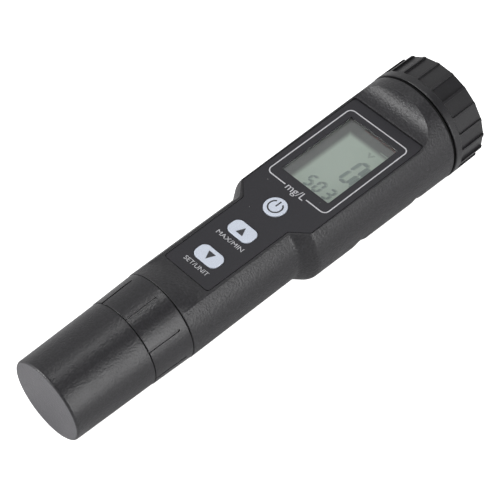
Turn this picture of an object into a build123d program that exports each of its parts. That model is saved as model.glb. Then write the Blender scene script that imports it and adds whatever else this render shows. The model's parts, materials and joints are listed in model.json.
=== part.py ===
"""Pen-shaped dissolved oxygen meter, a hand-held water quality probe.

Frame: millimetres. X runs along the pen's axis from the protective cap to the
battery cap, Z comes out of the display, and the origin is the centre of the
protective cap's flat end. The meter lies on its back, display up.
"""
import os
from math import cos, pi, radians, sin, sqrt

from build123d import *

# ---- driving dimensions: the outside, from the cap's end towards the battery cap ----
CAP_LENGTH = 32.6            # protective cap
CAP_END_R = 15.65
CAP_MOUTH_R = 16.25
CAP_BORE_R = 13.5
CAP_FLOOR = 2.2
SEAM = 0.2                   # hairline between two closed parts
COLLAR_START = CAP_LENGTH + SEAM
COLLAR_END = 48.75
COLLAR_FRONT_R = 16.4
COLLAR_REAR_R = 16.85
BODY_START = COLLAR_END + SEAM
GRIP_R = 17.0
SHOULDER_START = 97.2
SHOULDER_END = 102.7
HEAD_R = 21.0                # at the shoulder
HEAD_END_R = 21.6            # at the battery cap
BODY_END = 169.1
RING_GAP = 1.2               # the black sealing ring between body and battery cap
SEAL_RECESS = 0.6            # the ring lies this far below the body's surface
BATTERY_CAP_START = BODY_END + RING_GAP
TOTAL_LENGTH = 185.0
BATTERY_CAP_R = 21.8
BATTERY_CAP_END_R = 21.7

# ---- the flat front face ----
FLAT_Z = 12.1
WALL = 2.4
RAMP_TOP = 60.4              # where the flat face turns up towards the round nose
RAMP_TOP_HALF = 9.8
RAMP_MID = 54.6
RAMP_MID_CREST_Z = 15.1
DISH_R = 10.1                # finger dish beyond the label
DISH_X = 154.3
LABEL_T = 0.34
LABEL_RECESS = 0.4
LABEL_GAP = 0.28
LABEL_START = 61.5
LABEL_END = 157.8
LABEL_NECK_X = 97.8
LABEL_HEAD_X = 103.1
LABEL_START_HALF = 10.55
LABEL_NECK_HALF = 10.8
LABEL_HEAD_HALF = 16.65
LABEL_CORNER_R = 1.3
WINDOW_START = 116.3
WINDOW_END = 150.6
WINDOW_HALF = 11.45
WINDOW_CORNER_R = 0.5

# ---- keys ----
KEY_GAP = 0.25
KEY_TOP_Z = 12.3
KEY_TRAVEL = 0.5
POWER_KEY_X = 102.4
POWER_KEY_R = 4.25
UP_KEY_X = 87.05
DOWN_KEY_X = 71.8
KEY_PLACES = (POWER_KEY_X, UP_KEY_X, DOWN_KEY_X)
ARROW_KEY_WIDTH = 10.8       # across the pen
ARROW_KEY_LENGTH = 6.55      # along the pen
ARROW_KEY_CORNER_R = 2.6
KEY_EDGE = 0.15              # bevel round the top
KEY_FLANGE_T = 0.7
KEY_FLANGE_REACH = 0.8       # how far the flange hides under the wall
PLUNGER_R = 1.4
PLUNGER_GAP = 0.2            # from the plunger to its switch, beyond the travel

# ---- grips on the back, collar grooves and battery cap ribs ----
NOTCHES = ((121.5, 126.2, 128.4, 0.6), (150.5, 153.9, 156.0, 0.5))   # start, deepest, end, depth
NOTCH_FROM_DEG = 194
NOTCH_TO_DEG = 346
GROOVE_COUNT = 8
GROOVE_PHASE_DEG = 12
GROOVE_WIDTH = 0.9
GROOVE_DEPTH = 0.42
GROOVE_END = 45.8
RIB_COUNT = 20
RIB_PHASE_DEG = 30.9
RIB_WIDTH = 1.0
RIB_HEIGHT = 0.8
RIB_START = 173.0

# ---- inside of the body ----
SPIGOT_START = 38.5          # threaded nose that the collar screws onto
SPIGOT_R = 14.85
SPIGOT_BORE_R = 12.4
SOCKET_SEAT = 53.0
GRIP_BORE_R = 14.6
HEAD_BORE_R = 19.0
NECK_R = 18.4                # threaded neck that the battery cap screws onto
NECK_BORE_R = 16.9
NECK_END = 178.0
CAVITY_TOP_Z = FLAT_Z - WALL
RAIL_TOP_Z = 2.0

# ---- screw threads, drawn plain ----
THREAD_GAP = 0.35

# ---- electronics ----
BOARD_TOP_Z = 5.2
BOARD_T = 1.6
BOARD_BOTTOM_Z = BOARD_TOP_Z - BOARD_T
BOARD_START = 60.5
BOARD_END = 158.5
BOARD_GRIP_HALF = 13.1
BOARD_HEAD_HALF = 15.8
BOARD_STEP_START = 104.0
BOARD_STEP_END = 106.5
CHASSIS_WINDOWS = ((59.5, 69.0, 4.6), (68.0, 101.0, 9.5), (111.5, 154.0, 12.5))   # start, end, half-width
SCREW_PLACES = ((64.5, -8.0), (64.5, 8.0), (107.2, -12.0), (107.2, 12.0))
SCREW_SHANK_R = 1.0
SCREW_HEAD_R = 1.75
SCREW_HEAD_T = 1.1
LCD_START = 112.4
LCD_END = 154.6
LCD_HALF = 12.8
LCD_TOP_Z = 9.6
LCD_T = 1.8
LENS_T = 1.7
BACKLIGHT_INSET = 2.4
FRAME_WALL = 0.8
SWITCH_SIDE = 6.0
SWITCH_BASE_T = 0.6
SWITCH_T = 1.0
DOME_R = 1.75
RETAINER_BOTTOM_Z = 7.1
RETAINER_T = 0.7
RETAINER_HALF = 9.0
RETAINER_REACH = 4.7         # past the outer keys' middles
RETAINER_HOLE_R = 1.9
RETAINER_LEG_R = 0.9
CHIP_X = 131.0
CHIP_HALF = 5.0
CHIP_T = 1.5
CHIP_LEG_COUNT = 9           # on each side
CHIP_LEG_PITCH = 1.0
CHIP_LEG_LENGTH = 1.0
CHIP_LEG_HALF = 0.2
CHIP_LEG_T = 0.6
RIBBON_T = 0.3
RIBBON_HALF = 4.0
RIBBON_BEND_R = 2.5
RIBBON_FOOT_Z = -5.5
RIBBON_LAP = 8.0             # length under the board

# ---- battery: four coin cells in a tube on the pen's axis ----
CELL_R = 10.0
CELL_T = 3.2
CELL_COUNT = 4
HOLDER_START = 158.8
HOLDER_R = 10.9
HOLDER_BORE_R = 10.2
CELLS_START = 162.2
CELLS_END = CELLS_START + CELL_COUNT * CELL_T
LID_START = CELLS_END + 1.0
LID_T = 1.4
BATTERY_DROP = 1.6           # the cells sit this far below the pen's axis
CONTACT_T = 0.4
CELL_POLE_R = 8.6
CELL_POLE_T = 0.6
HOLDER_FOOT_T = 1.6
FIN_START = 168.0
FIN_HALF = 0.7
FIN_ANGLES = (45, 135, 225, 315)
LID_TAB_REACH = 2.2
LID_TAB_HALF = 3.0
LID_DIMPLE_R = 4.0
LID_DIMPLE_FLOOR = 0.9

# ---- electrode ----
STEM_R = 13.1                # the part the protective cap pushes over
STEM_START = 25.2
FLANGE_START = 35.6
FLANGE_END = 37.6
FLANGE_R = 14.8
PLUG_R = 12.0
PLUG_END = 52.4
NOSE_R = 9.0
NOSE_START = 22.2
TIP_THREAD_R = 7.2
TIP_THREAD_START = 16.6
CORE_R = 3.5
CORE_START = 10.1
MEMBRANE_CAP_START = 9.0
MEMBRANE_CAP_END = 21.0
MEMBRANE_CAP_R = 8.6
PIN_COUNT = 4
PIN_CIRCLE_R = 6.0
PIN_R = 0.5
CONTACT_BORE_R = 0.85
CONTACT_R = 1.5
SOCKET_R = 14.2
SOCKET_END = 57.6
SOCKET_BACK_T = 1.4          # raised back of the socket
SOLDER_TAIL = 2.6            # contacts reach this far past the socket
PIN_DEPTH = 4.0              # length of a pin inside the plug
PIN_REACH = 5.0              # length of a pin beyond the plug
WIRE_R = 0.6                 # cathode lead
WIRE_LENGTH = 14.0
SENSOR_DEPTH = 6.0           # length of the sensor inside the stem
STEM_SEAL_X = 45.0
STEM_SEAL_SECTION_R = 0.9
STEM_SEAL_RING_R = SPIGOT_BORE_R - 0.05 - STEM_SEAL_SECTION_R
CAP_SEAL_X = 29.2
CAP_SEAL_SECTION_R = 0.9
CAP_SEAL_RING_R = CAP_BORE_R - 0.05 - CAP_SEAL_SECTION_R
SENSOR_Y = 10.4
SENSOR_R = 0.9

PARTS_DIR = "parts"


# ---- helpers ----
def turned(points, radii=None):
    """Solid of revolution about X from (x, radius) points, with optional corner radii."""
    if radii is None:
        line = Polyline(*points, close=True)
    else:
        line = FilletPolyline(*points, radius=radii, close=True)
    return revolve(Plane.XZ * make_face(line), Axis.X)


def tube(x0, x1, outer, inner=0.0):
    """Plain round bar or tube along X."""
    return turned([(x0, inner), (x1, inner), (x1, outer), (x0, outer)])


def block(x0, x1, y0, y1, z0, z1):
    """Box given by its limits."""
    size = Box(x1 - x0, y1 - y0, z1 - z0)
    return Pos((x0 + x1) / 2, (y0 + y1) / 2, (z0 + z1) / 2) * size


def post(x, y, z0, z1, radius):
    """Upright round post."""
    return Pos(x, y, (z0 + z1) / 2) * Cylinder(radius, z1 - z0)


def ring(x, ring_radius, section_radius):
    """O-ring around the X axis."""
    return Pos(x, 0, 0) * Rot(0, 90, 0) * Torus(ring_radius, section_radius)


def lowered(shape):
    """Shape moved down onto the battery's own axis."""
    return Pos(0, 0, -BATTERY_DROP) * shape


def slab(face, z0, z1):
    """Plan-view face drawn out between two heights."""
    return Pos(0, 0, z0) * extrude(face, z1 - z0)


def half_chord(radius, height):
    """Half-width of a round section at a height above its centre."""
    return sqrt(radius * radius - height * height)


def mirrored_outline(points):
    """Closed plan outline from the points on its +Y side, in order along X."""
    return list(points) + [(x, -y) for x, y in reversed(points)]


def save(shape, name):
    """Write one sub-part."""
    export_step(shape, os.path.join(PARTS_DIR, name + ".step"))


# ---- plan outlines on the front face ----
def label_face(grow=0.0):
    """Outline of the front label, grown for its recess."""
    side = [
        (LABEL_START - grow, LABEL_START_HALF + grow),
        (LABEL_NECK_X - grow / 2, LABEL_NECK_HALF + grow),
        (LABEL_HEAD_X - grow / 2, LABEL_HEAD_HALF + grow),
        (LABEL_END + grow, LABEL_HEAD_HALF + grow),
    ]
    radii = [LABEL_CORNER_R, 1.0, 1.0, LABEL_CORNER_R, LABEL_CORNER_R, 1.0, 1.0, LABEL_CORNER_R]
    return make_face(FilletPolyline(*mirrored_outline(side), radius=radii, close=True))


def window_face(shrink=0.0):
    """Outline of the display window."""
    length = WINDOW_END - WINDOW_START - 2 * shrink
    width = 2 * (WINDOW_HALF - shrink)
    middle = (WINDOW_START + WINDOW_END) / 2
    return Pos(middle, 0) * RectangleRounded(length, width, WINDOW_CORNER_R)


def power_key_face(grow=0.0):
    """Outline of the round key."""
    return Pos(POWER_KEY_X, 0) * Circle(POWER_KEY_R + grow)


def arrow_key_face(x, grow=0.0):
    """Outline of one arrow key, longer across the pen."""
    length = ARROW_KEY_LENGTH + 2 * grow
    width = ARROW_KEY_WIDTH + 2 * grow
    return Pos(x, 0) * RectangleRounded(length, width, ARROW_KEY_CORNER_R + grow)


def key_faces(grow=0.0):
    """The three key outlines."""
    return [power_key_face(grow), arrow_key_face(UP_KEY_X, grow), arrow_key_face(DOWN_KEY_X, grow)]


# ---- housing ----
def housing_outside():
    """Round outside of the body with its nose spigot and battery neck."""
    edge = 0.3
    points = [
        (SPIGOT_START, 0),
        (SPIGOT_START, SPIGOT_R),
        (BODY_START, SPIGOT_R),
        (BODY_START, GRIP_R),
        (SHOULDER_START, GRIP_R),
        (SHOULDER_END, HEAD_R),
        (BODY_END, HEAD_END_R),
        (BODY_END, NECK_R),
        (NECK_END, NECK_R),
        (NECK_END, 0),
    ]
    radii = [0, edge, 0, edge, 2.5, 3.5, edge, 0, edge, 0]
    return turned(points, radii)


def flat_cut():
    """Everything above the flat front face, up to the finger dish."""
    far = HEAD_END_R + 2
    dish_end_x = DISH_X + DISH_R
    dish_z = FLAT_Z + DISH_R
    start = (BODY_START, FLAT_Z)
    foot = (DISH_X, FLAT_Z)
    dish_mid = (DISH_X + DISH_R * sin(pi / 4), dish_z - DISH_R * cos(pi / 4))
    lip = (dish_end_x, dish_z)
    outline = [
        Line(start, foot),
        ThreePointArc(foot, dish_mid, lip),
        Line(lip, (dish_end_x, far)),
        Line((dish_end_x, far), (BODY_START, far)),
        Line((BODY_START, far), start),
    ]
    face = Plane.XZ * make_face(Curve() + outline)
    return extrude(face, far, both=True)


def ramp_section(x, half_width, crest_z, foot_z):
    """Section of the ramp: upright sides and a flat or arched top."""
    plane = Plane(origin=(x, 0, 0), x_dir=(0, 1, 0), z_dir=(1, 0, 0))
    left = (-half_width, foot_z)
    right = (half_width, foot_z)
    below = FLAT_Z - 6
    if crest_z > foot_z:
        top = ThreePointArc(right, (0, crest_z), left)
    else:
        top = Line(right, left)
    outline = [
        Line((-half_width, below), (half_width, below)),
        Line((half_width, below), right),
        top,
        Line(left, (-half_width, below)),
    ]
    return plane * make_face(Curve() + outline)


def ramp():
    """Blend that carries the flat face up to the full round section of the nose."""
    half = half_chord(GRIP_R, FLAT_Z)
    sections = [
        ramp_section(RAMP_TOP, RAMP_TOP_HALF, FLAT_Z, FLAT_Z),
        ramp_section(RAMP_MID, half, RAMP_MID_CREST_Z, FLAT_Z),
        ramp_section(BODY_START - 0.01, half, GRIP_R, FLAT_Z),
    ]
    return loft([s.face() for s in sections], ruled=True)


def back_notches():
    """Two shallow saw-tooth steps round the back of the head."""
    cuts = []
    for start, deepest, end, depth in NOTCHES:
        over = HEAD_END_R + 1
        floor_r = head_radius(deepest) - depth
        points = [
            (start, head_radius(start)),
            (deepest, floor_r),
            (end, head_radius(end)),
            (end, over),
            (start, over),
        ]
        face = Plane.XZ * make_face(Polyline(*points, close=True))
        sector = revolve(face, Axis.X, NOTCH_TO_DEG - NOTCH_FROM_DEG)
        # the profile starts at +Z, which is 90 degrees; revolving goes towards -Y
        cuts.append(Rot(NOTCH_FROM_DEG - 90, 0, 0) * sector)
    return cuts


def head_radius(x):
    """Outer radius of the head at x."""
    share = (x - SHOULDER_END) / (BODY_END - SHOULDER_END)
    return HEAD_R + share * (HEAD_END_R - HEAD_R)


def housing_cavity():
    """Room inside the body, flat under the front face."""
    dish_wall_x = DISH_X + DISH_R + 1.6
    room = turned(
        [
            (SOCKET_SEAT, 0),
            (SOCKET_SEAT, GRIP_BORE_R),
            (SHOULDER_START + 1.5, GRIP_BORE_R),
            (SHOULDER_END + 1.5, HEAD_BORE_R),
            (dish_wall_x, HEAD_BORE_R),
            (dish_wall_x, 0),
        ]
    )
    ceiling_start = RAMP_TOP + 1
    nose_ceiling = block(SOCKET_SEAT, ceiling_start, -GRIP_R, GRIP_R, CAVITY_TOP_Z, GRIP_R)
    ceiling = block(ceiling_start, dish_wall_x, -HEAD_END_R, HEAD_END_R, CAVITY_TOP_Z, HEAD_END_R)
    return room - ceiling - nose_ceiling


def rails():
    """Two ledges inside the head that carry the chassis."""
    x0 = BOARD_STEP_END
    x1 = BOARD_END
    inner = BOARD_HEAD_HALF - 0.8
    bars = []
    for side in (-1, 1):
        y0, y1 = sorted((side * inner, side * HEAD_BORE_R))
        bars.append(block(x0, x1, y0, y1, RAIL_TOP_Z - 1.5, RAIL_TOP_Z))
    return [bar & tube(x0, x1, HEAD_BORE_R + 0.5) for bar in bars]


def main_housing():
    """One-piece moulded body."""
    body = housing_outside()
    body -= flat_cut() - ramp()
    for cut in back_notches():
        body -= cut
    body -= tube(SPIGOT_START - 1, SOCKET_SEAT + 1, SPIGOT_BORE_R)
    body -= housing_cavity()
    body -= tube(DISH_X, NECK_END + 1, NECK_BORE_R) & block(
        DISH_X, DISH_X + DISH_R + 2, -HEAD_END_R, HEAD_END_R, -HEAD_END_R, CAVITY_TOP_Z
    )
    body -= tube(DISH_X + DISH_R + 1.6, NECK_END + 1, NECK_BORE_R)
    body -= slab(label_face(LABEL_GAP), FLAT_Z - LABEL_RECESS, GRIP_R)
    body -= slab(window_face(), CAVITY_TOP_Z - 1, FLAT_Z)
    for face in key_faces(KEY_GAP):
        body -= slab(face, CAVITY_TOP_Z - 1, FLAT_Z)
    for rail in rails():
        body += rail
    return body


# ---- front face pieces ----
def front_label():
    """Printed label plate in its recess, open at the window and the keys."""
    floor = FLAT_Z - LABEL_RECESS
    plate = slab(label_face(), floor, floor + LABEL_T)
    plate -= slab(window_face(), floor - 1, FLAT_Z)
    for face in key_faces(KEY_GAP):
        plate -= slab(face, floor - 1, FLAT_Z)
    return plate


def window_lens():
    """Clear lens glued in the window, set back from the label."""
    low = CAVITY_TOP_Z + 0.1
    return slab(window_face(0.02), low, low + LENS_T)


def key(face, flange_face, x):
    """Key top, its flange under the wall and the plunger over its switch."""
    flange_top = CAVITY_TOP_Z - 0.1
    flange_bottom = flange_top - KEY_FLANGE_T
    top = slab(face, flange_top, KEY_TOP_Z)
    top = chamfer(top.faces().sort_by(Axis.Z)[-1].edges(), KEY_EDGE)
    flange = slab(flange_face, flange_bottom, flange_top)
    plunger_end = BOARD_TOP_Z + SWITCH_T + KEY_TRAVEL + PLUNGER_GAP
    return top + flange + post(x, 0, plunger_end, flange_bottom, PLUNGER_R)


def power_key():
    """Round on and off key."""
    return key(power_key_face(), power_key_face(KEY_FLANGE_REACH), POWER_KEY_X)


def arrow_key(x):
    """Up or down key."""
    return key(arrow_key_face(x), arrow_key_face(x, KEY_FLANGE_REACH), x)


def key_retainer():
    """Thin plate on four legs that stops the keys falling inwards."""
    x0 = DOWN_KEY_X - RETAINER_REACH
    x1 = POWER_KEY_X + RETAINER_REACH
    half = RETAINER_HALF
    plate = block(x0, x1, -half, half, RETAINER_BOTTOM_Z, RETAINER_BOTTOM_Z + RETAINER_T)
    for x in KEY_PLACES:
        plate -= post(x, 0, RETAINER_BOTTOM_Z - 1, RETAINER_BOTTOM_Z + 2, RETAINER_HOLE_R)
    for x in (x0 + 1, x1 - 1):
        for y in (1 - half, half - 1):
            plate += post(x, y, BOARD_TOP_Z, RETAINER_BOTTOM_Z, RETAINER_LEG_R)
    return plate


# ---- electronics ----
def board_outline(inset=0.0):
    """Board outline: narrow in the grip, wide in the head."""
    side = [
        (BOARD_START + inset, BOARD_GRIP_HALF - inset),
        (BOARD_STEP_START + inset, BOARD_GRIP_HALF - inset),
        (BOARD_STEP_END + inset, BOARD_HEAD_HALF - inset),
        (BOARD_END - inset, BOARD_HEAD_HALF - inset),
    ]
    return make_face(Polyline(*mirrored_outline(side), close=True))


def main_board():
    """Circuit board with screw holes."""
    board = slab(board_outline(), BOARD_BOTTOM_Z, BOARD_TOP_Z)
    for x, y in SCREW_PLACES:
        board -= post(x, y, BOARD_BOTTOM_Z - 1, BOARD_TOP_Z + 1, SCREW_SHANK_R + 0.1)
    return board


def chassis():
    """Moulded carrier under the board, open for the parts on its underside."""
    plate = slab(board_outline(0.1), RAIL_TOP_Z, BOARD_BOTTOM_Z)
    for x0, x1, half in CHASSIS_WINDOWS:
        plate -= block(x0, x1, -half, half, RAIL_TOP_Z - 1, BOARD_BOTTOM_Z + 1)
    for x, y in SCREW_PLACES:
        plate -= post(x, y, RAIL_TOP_Z - 1, BOARD_BOTTOM_Z + 1, SCREW_SHANK_R)
    return plate


def chassis_screws():
    """Four screws that hold the board on the chassis."""
    screws = []
    for x, y in SCREW_PLACES:
        shank = post(x, y, RAIL_TOP_Z, BOARD_TOP_Z, SCREW_SHANK_R)
        head = post(x, y, BOARD_TOP_Z, BOARD_TOP_Z + SCREW_HEAD_T, SCREW_HEAD_R)
        slot_z = BOARD_TOP_Z + SCREW_HEAD_T
        slot = block(x - 2, x + 2, y - 0.25, y + 0.25, slot_z - 0.4, slot_z + 1)
        screws.append(shank + head - slot)
    return Compound(children=screws)


def lcd_glass():
    """Liquid crystal display, two sheets of glass bonded together."""
    return block(LCD_START, LCD_END, -LCD_HALF, LCD_HALF, LCD_TOP_Z - LCD_T, LCD_TOP_Z)


def backlight():
    """Light guide behind the display."""
    x0 = LCD_START + BACKLIGHT_INSET
    x1 = LCD_END - BACKLIGHT_INSET
    half = LCD_HALF - 0.4
    return block(x0, x1, -half, half, BOARD_TOP_Z + 0.2, LCD_TOP_Z - LCD_T)


def zebra_strips():
    """Two elastomer contact strips between the board and the display's ends."""
    strips = []
    half = LCD_HALF - 0.6
    for x in (LCD_START + 0.4, LCD_END - 2.0):
        strips.append(block(x, x + 1.6, -half, half, BOARD_TOP_Z, LCD_TOP_Z - LCD_T))
    return Compound(children=strips)


def lcd_frame():
    """Moulded rim that holds the display over the board."""
    gap = 0.1
    x0 = LCD_START - gap
    x1 = LCD_END + gap
    y1 = LCD_HALF + gap
    w = FRAME_WALL
    rim = block(x0 - w, x1 + w, -y1 - w, y1 + w, BOARD_TOP_Z, LCD_TOP_Z - 0.1)
    return rim - block(x0, x1, -y1, y1, BOARD_TOP_Z - 1, LCD_TOP_Z + 1)


def key_switches():
    """Three dome switches under the keys."""
    switches = []
    half = SWITCH_SIDE / 2
    base_top = BOARD_TOP_Z + SWITCH_BASE_T
    for x in KEY_PLACES:
        base = block(x - half, x + half, -half, half, BOARD_TOP_Z, base_top)
        switches.append(base + post(x, 0, base_top, BOARD_TOP_Z + SWITCH_T, DOME_R))
    return Compound(children=switches)


def microcontroller():
    """Processor with its legs, on the underside of the board."""
    top = BOARD_BOTTOM_Z
    half = CHIP_HALF
    reach = half + CHIP_LEG_LENGTH
    chip = block(-half, half, -half, half, top - CHIP_T, top - 0.1)
    for i in range(CHIP_LEG_COUNT):
        offset = (i - (CHIP_LEG_COUNT - 1) / 2) * CHIP_LEG_PITCH
        low = offset - CHIP_LEG_HALF
        high = offset + CHIP_LEG_HALF
        for start, end in ((-reach, -half), (half, reach)):
            chip += block(low, high, start, end, top - CHIP_LEG_T, top)
            chip += block(start, end, low, high, top - CHIP_LEG_T, top)
    return Pos(CHIP_X, 0, 0) * chip


def board_components():
    """Amplifier, crystal, capacitors and resistors on the underside of the board."""
    z1 = BOARD_BOTTOM_Z
    amplifier = block(74, 79, -2, 2, z1 - 1.4, z1)
    crystal = block(119, 121.4, -4, 4, z1 - 2.4, z1)
    capacitor = post(146, 6, z1 - 3.0, z1, 2.5)
    pieces = [amplifier, crystal, capacitor]
    for i in range(5):
        x = 83.0 + 2.6 * i
        pieces.append(block(x, x + 1.2, -4.5, -2.5, z1 - 0.6, z1))
        pieces.append(block(x, x + 1.2, 2.5, 4.5, z1 - 0.6, z1))
    return Compound(children=pieces)


# ---- battery ----
def coin_cell(index):
    """One coin cell: can with a slightly smaller raised pole."""
    x0 = CELLS_START + index * CELL_T
    points = [
        (x0, 0),
        (x0, CELL_POLE_R),
        (x0 + CELL_POLE_T / 2, CELL_POLE_R + 0.2),
        (x0 + CELL_POLE_T, CELL_R),
        (x0 + CELL_T, CELL_R),
        (x0 + CELL_T, 0),
    ]
    return lowered(turned(points))


def battery_holder():
    """Tube for the cells with a foot plate and centring fins in the neck."""
    foot_end = HOLDER_START + HOLDER_FOOT_T
    below = -2 * HOLDER_R
    foot = tube(HOLDER_START, foot_end, NECK_BORE_R - 0.3)
    foot -= block(HOLDER_START - 1, foot_end + 1, below, -below, CAVITY_TOP_Z - 0.3, -below)
    body = tube(foot_end, LID_START, HOLDER_R)
    fin_reach = NECK_BORE_R - BATTERY_DROP - 0.2
    fin = block(FIN_START, LID_START - 2, -FIN_HALF, FIN_HALF, HOLDER_R - 0.4, fin_reach)
    for angle in FIN_ANGLES:
        body += Rot(angle, 0, 0) * fin
    body -= tube(CELLS_START - CONTACT_T, LID_START + 1, HOLDER_BORE_R)
    body -= block(CELLS_START - CONTACT_T, CELLS_START, -1.6, 1.6, below, 0)
    return foot + lowered(body)


def battery_base_contact():
    """Contact plate behind the cells with a tail below the tube."""
    x0 = CELLS_START - CONTACT_T
    plate = tube(x0, CELLS_START, 8.0)
    tail = block(x0, CELLS_START, -1.5, 1.5, -HOLDER_R - 0.6, -5)
    return lowered(plate + tail)


def battery_spring():
    """Sprung cone contact under the lid."""
    points = [
        (CELLS_END, 2.5),
        (CELLS_END + 0.3, 2.5),
        (LID_START, 8.6),
        (LID_START, 9.0),
        (LID_START - 0.35, 9.0),
    ]
    return lowered(turned(points))


def battery_lid():
    """Snap-in lid over the cells."""
    lid_end = LID_START + LID_T
    lid = tube(LID_START, lid_end, HOLDER_R)
    tab = block(LID_START, lid_end, -LID_TAB_HALF, LID_TAB_HALF, HOLDER_R - 0.5, HOLDER_R + LID_TAB_REACH)
    lid += tab
    lid += Rot(180, 0, 0) * tab
    return lowered(lid - tube(LID_START + LID_DIMPLE_FLOOR, lid_end + 1, LID_DIMPLE_R))


# ---- battery cap ----
def battery_cap():
    """Twist-off cap: smooth band, then panels between low ribs."""
    skirt_r = NECK_R + THREAD_GAP
    end_wall = 2.2
    points = [
        (BATTERY_CAP_START, skirt_r),
        (BATTERY_CAP_START, BATTERY_CAP_R),
        (TOTAL_LENGTH, BATTERY_CAP_END_R),
        (TOTAL_LENGTH, 0),
        (TOTAL_LENGTH - end_wall, 0),
        (TOTAL_LENGTH - end_wall, 17.0),
        (NECK_END + 1.4, 17.0),
        (NECK_END + 1.4, skirt_r),
    ]
    cap = turned(points, [0, 0.35, 0.9, 0, 0, 0.8, 0, 0])
    pitch = 360 / RIB_COUNT
    floor_r = BATTERY_CAP_R - RIB_HEIGHT - 0.15
    end_floor_r = floor_r - (BATTERY_CAP_R - BATTERY_CAP_END_R)
    half = BATTERY_CAP_R * sin(radians(pitch / 2)) - RIB_WIDTH / 2
    over = BATTERY_CAP_R + 1.5
    side = [
        (RIB_START, over),
        (RIB_START, BATTERY_CAP_R),
        (RIB_START + 0.9, floor_r - 0.04),
        (TOTAL_LENGTH + 1, end_floor_r),
        (TOTAL_LENGTH + 1, over),
    ]
    panel = extrude(Plane.XZ * make_face(Polyline(*side, close=True)), half, both=True)
    for i in range(RIB_COUNT):
        cap -= Rot(RIB_PHASE_DEG - 90 + pitch * (i + 0.5), 0, 0) * panel
    dimple = tube(TOTAL_LENGTH - 0.6, TOTAL_LENGTH + 1, 16.5)
    return cap - dimple


def battery_cap_seal():
    """Black sealing ring between the body and the battery cap."""
    inner = NECK_R + 0.3
    outer = HEAD_END_R - SEAL_RECESS
    x0 = BODY_END + 0.12
    x1 = BATTERY_CAP_START - 0.12
    edge = 0.3
    return turned([(x0, inner), (x1, inner), (x1, outer), (x0, outer)], [0, 0, edge, edge])


# ---- probe socket ----
def socket_places():
    """Places of the contacts round the axis."""
    angles = [2 * pi * (i + 0.5) / PIN_COUNT for i in range(PIN_COUNT)]
    return [(PIN_CIRCLE_R * cos(a), PIN_CIRCLE_R * sin(a)) for a in angles]


def along_x(x0, x1, y, z, radius):
    """Round bar along X away from the axis."""
    return Pos((x0 + x1) / 2, y, z) * Rot(0, 90, 0) * Cylinder(radius, x1 - x0)


def probe_socket():
    """Connector that closes the nose and takes the electrode's pins."""
    body = tube(SOCKET_SEAT, SOCKET_END, SOCKET_R) + tube(SOCKET_END, SOCKET_END + SOCKET_BACK_T, 9.0)
    body -= block(SOCKET_SEAT - 1, SOCKET_END + 3, -20, 20, CAVITY_TOP_Z - 0.2, 20)
    body -= ring(SOCKET_SEAT, 13.3, 0.55)
    for y, z in socket_places():
        body -= along_x(SOCKET_SEAT - 1, SOCKET_END + 3, y, z, CONTACT_R)
    return body


def socket_contacts():
    """Sleeves that grip the pins, each with a solder tail."""
    sleeves = []
    for y, z in socket_places():
        sleeve = along_x(SOCKET_SEAT + 0.2, SOCKET_END + SOCKET_BACK_T, y, z, CONTACT_R)
        sleeve -= along_x(SOCKET_SEAT - 1, PLUG_END + PIN_REACH + 0.6, y, z, CONTACT_BORE_R)
        tail = along_x(SOCKET_END + SOCKET_BACK_T, SOCKET_END + SOLDER_TAIL, y, z, 0.4)
        sleeves.append(sleeve + tail)
    return Compound(children=sleeves)


def probe_ribbon():
    """Flat flexible lead from the socket to the underside of the board."""
    x0 = SOCKET_END + SOLDER_TAIL
    x1 = x0 + RIBBON_LAP
    top = BOARD_BOTTOM_Z
    low = top - RIBBON_T
    face_x = x0 + RIBBON_T
    outer = FilletPolyline((x0, RIBBON_FOOT_Z), (x0, top), (x1, top), radius=RIBBON_BEND_R)
    inner_r = RIBBON_BEND_R - RIBBON_T
    inner = FilletPolyline((face_x, RIBBON_FOOT_Z), (face_x, low), (x1, low), radius=inner_r)
    ends = [Line(outer @ 0, inner @ 0), Line(outer @ 1, inner @ 1)]
    face = Plane.XZ * make_face(Curve() + [outer, inner] + ends)
    return extrude(face, RIBBON_HALF, both=True)


# ---- electrode ----
def electrode_stem():
    """Probe body: tip, nose, cap seat, flange and plug."""
    points = [
        (CORE_START + 1.0, 0),
        (CORE_START + 1.0, CORE_R),
        (TIP_THREAD_START, CORE_R),
        (TIP_THREAD_START, TIP_THREAD_R),
        (NOSE_START, TIP_THREAD_R),
        (NOSE_START, NOSE_R),
        (STEM_START, NOSE_R),
        (STEM_START, STEM_R),
        (FLANGE_START, STEM_R),
        (FLANGE_START, FLANGE_R),
        (FLANGE_END, FLANGE_R),
        (FLANGE_END, PLUG_R),
        (PLUG_END, PLUG_R),
        (PLUG_END, 0),
    ]
    radii = [0, 0.3, 0, 0.3, 0, 0.8, 0, 0.8, 0, 0.3, 0.3, 0, 0.5, 0]
    stem = turned(points, radii)
    stem -= ring(STEM_SEAL_X, STEM_SEAL_RING_R, STEM_SEAL_SECTION_R)
    stem -= ring(CAP_SEAL_X, CAP_SEAL_RING_R, CAP_SEAL_SECTION_R)
    stem -= along_x(CORE_START, CORE_START + WIRE_LENGTH, 0, 0, WIRE_R)
    stem -= along_x(NOSE_START - 1, STEM_START + SENSOR_DEPTH, SENSOR_Y, 0, SENSOR_R)
    for y, z in socket_places():
        stem -= along_x(PLUG_END - PIN_DEPTH, PLUG_END + 1, y, z, PIN_R)
    return stem


def stem_seal():
    """O-ring between the plug and the body's nose."""
    return ring(STEM_SEAL_X, STEM_SEAL_RING_R, STEM_SEAL_SECTION_R)


def cap_seal():
    """O-ring that holds the protective cap on the electrode."""
    return ring(CAP_SEAL_X, CAP_SEAL_RING_R, CAP_SEAL_SECTION_R)


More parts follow.
